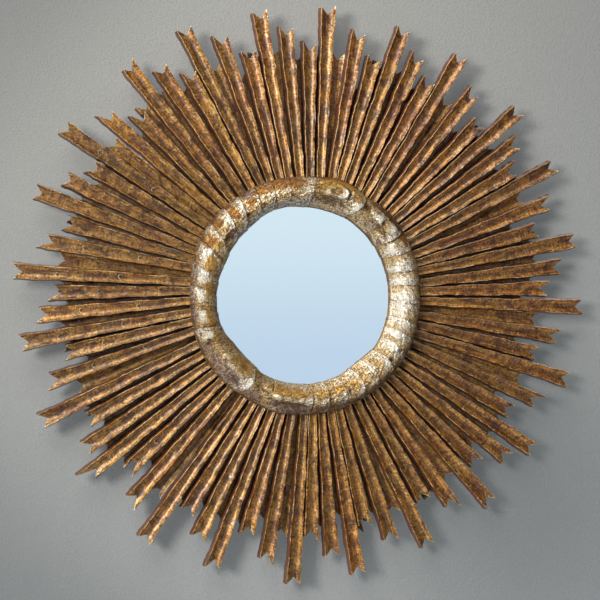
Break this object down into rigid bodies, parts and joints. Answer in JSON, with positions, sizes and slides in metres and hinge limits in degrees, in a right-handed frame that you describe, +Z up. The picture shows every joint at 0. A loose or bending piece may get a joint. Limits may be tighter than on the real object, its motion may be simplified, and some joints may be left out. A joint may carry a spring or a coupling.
{
  "type": "sunburst mirror",
  "caption": "Round wall mirror in a carved gilt ring with three lengths of grooved, fishtail-ended gilt rays, on a round back board with a swinging ring hanger.",
  "frame": {"origin": "centre of the flat back that lies against the wall", "axes": "+Z up the wall, -Y out of the wall towards the room, +X to the right seen from the room"},
  "size_m": [0.9128, 0.076, 0.9114],
  "materials": {
    "ray_gilding": "worn gold leaf over red-brown ground, dark in the grooves",
    "rear_ray_gilding": "darker worn gold over red-brown ground",
    "ring_gilding": "pale worn silver-gilt with brown speckles and red edges",
    "mirror_glass": "silvered flat glass",
    "backing_card": "grey card",
    "bare_wood": "bare softwood",
    "back_board": "brown-stained wood board",
    "cover_board": "smooth brown hardboard",
    "iron_nails": "dark iron",
    "screw_steel": "dull zinc",
    "hanger_steel": "bright zinc"
  },
  "bodies": {
    "mirror_body": {"long_ray_01": "ray_gilding", "long_ray_02": "ray_gilding", "long_ray_03": "ray_gilding", "long_ray_04": "ray_gilding", "long_ray_05": "ray_gilding", "long_ray_06": "ray_gilding", "long_ray_07": "ray_gilding", "long_ray_08": "ray_gilding", "long_ray_09": "ray_gilding", "long_ray_10": "ray_gilding", "long_ray_11": "ray_gilding", "long_ray_12": "ray_gilding", "long_ray_13": "ray_gilding", "long_ray_14": "ray_gilding", "long_ray_15": "ray_gilding", "long_ray_16": "ray_gilding", "long_ray_17": "ray_gilding", "long_ray_18": "ray_gilding", "long_ray_19": "ray_gilding", "long_ray_20": "ray_gilding", "long_ray_21": "ray_gilding", "long_ray_22": "ray_gilding", "long_ray_23": "ray_gilding", "long_ray_24": "ray_gilding", "middle_rays": "ray_gilding", "short_rays": "ray_gilding", "rear_rays_after_long": "rear_ray_gilding", "rear_rays_after_middle": "rear_ray_gilding", "rear_rays_after_short": "rear_ray_gilding", "carved_ring": "ring_gilding", "mirror_glass": "mirror_glass", "backing_card": "backing_card", "retaining_hoop": "bare_wood", "spacer_ring": "bare_wood", "back_board": "back_board", "back_cover": "cover_board", "front_ray_nails": "iron_nails", "rear_ray_nails": "iron_nails", "ring_screws": "screw_steel", "cover_screws": "screw_steel", "hanger_screws": "screw_steel", "hanger_strap": "hanger_steel"},
    "hanging_ring": {"hanger_ring": "hanger_steel"}
  },
  "joints": [
    {"name": "hanger_ring_swing", "type": "hinge", "parent": "mirror_body", "child": "hanging_ring", "pos_m": [0, -0.00665, 0.242], "axis": [1, 0, 0], "range_deg": [0, 180]}
  ]
}
